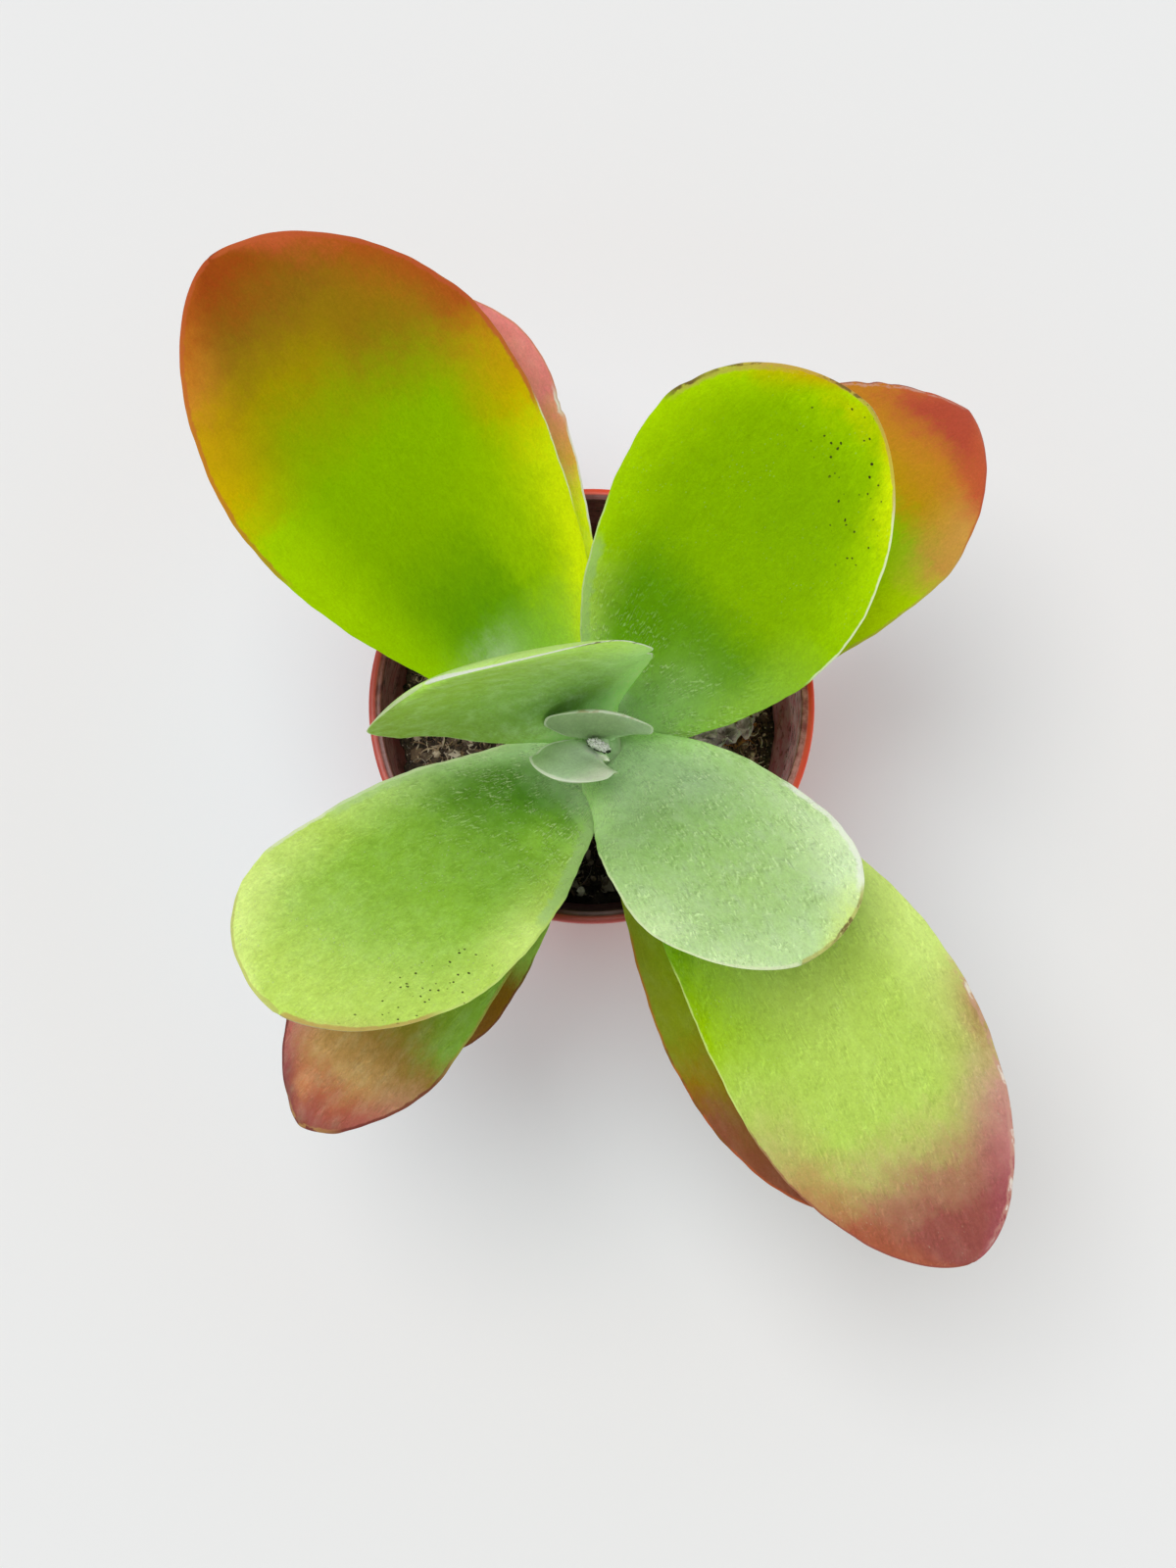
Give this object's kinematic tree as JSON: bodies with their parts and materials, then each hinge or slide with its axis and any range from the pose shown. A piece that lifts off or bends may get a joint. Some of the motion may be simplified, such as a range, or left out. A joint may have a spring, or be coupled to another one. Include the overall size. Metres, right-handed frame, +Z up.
{
  "type": "potted paddle plant",
  "caption": "Rosette succulent with broad fleshy paddle leaves in crossed pairs on a short stem, standing in soil in a round tapered nursery pot.",
  "frame": {"origin": "centre of the pot's flat underside, on the surface it stands on", "axes": "+Z up out of the pot; +X east and +Y north, so the longest leaves point northwest and southeast"},
  "size_m": [0.1705, 0.2094, 0.1951],
  "materials": {
    "leaf_1_north": "satin",
    "leaf_1_southwest": "satin",
    "leaf_2_northwest": "satin",
    "leaf_2_southeast": "satin",
    "leaf_3_northeast": "satin",
    "leaf_3_southwest": "satin",
    "leaf_4_northwest": "satin",
    "leaf_4_southeast": "satin",
    "leaf_5_northeast": "satin",
    "leaf_5_southwest": "satin",
    "leaf_6_northwest": "satin",
    "leaf_6_southeast": "satin",
    "leaf_7_southwest": "satin",
    "bud": "matte",
    "stem": "matte",
    "withered_leaf": "matte",
    "soil": "matte",
    "pot": "satin"
  },
  "bodies": {
    "root": {"leaf_1_north": "leaf_1_north", "leaf_1_southwest": "leaf_1_southwest", "leaf_2_northwest": "leaf_2_northwest", "leaf_2_southeast": "leaf_2_southeast", "leaf_3_northeast": "leaf_3_northeast", "leaf_3_southwest": "leaf_3_southwest", "leaf_4_northwest": "leaf_4_northwest", "leaf_4_southeast": "leaf_4_southeast", "leaf_5_northeast": "leaf_5_northeast", "leaf_5_southwest": "leaf_5_southwest", "leaf_6_northwest": "leaf_6_northwest", "leaf_6_southeast": "leaf_6_southeast", "leaf_7_southwest": "leaf_7_southwest", "bud": "bud", "stem": "stem", "withered_leaf_7_northeast": "withered_leaf", "soil": "soil", "pot": "pot"}
  },
  "joints": []
}
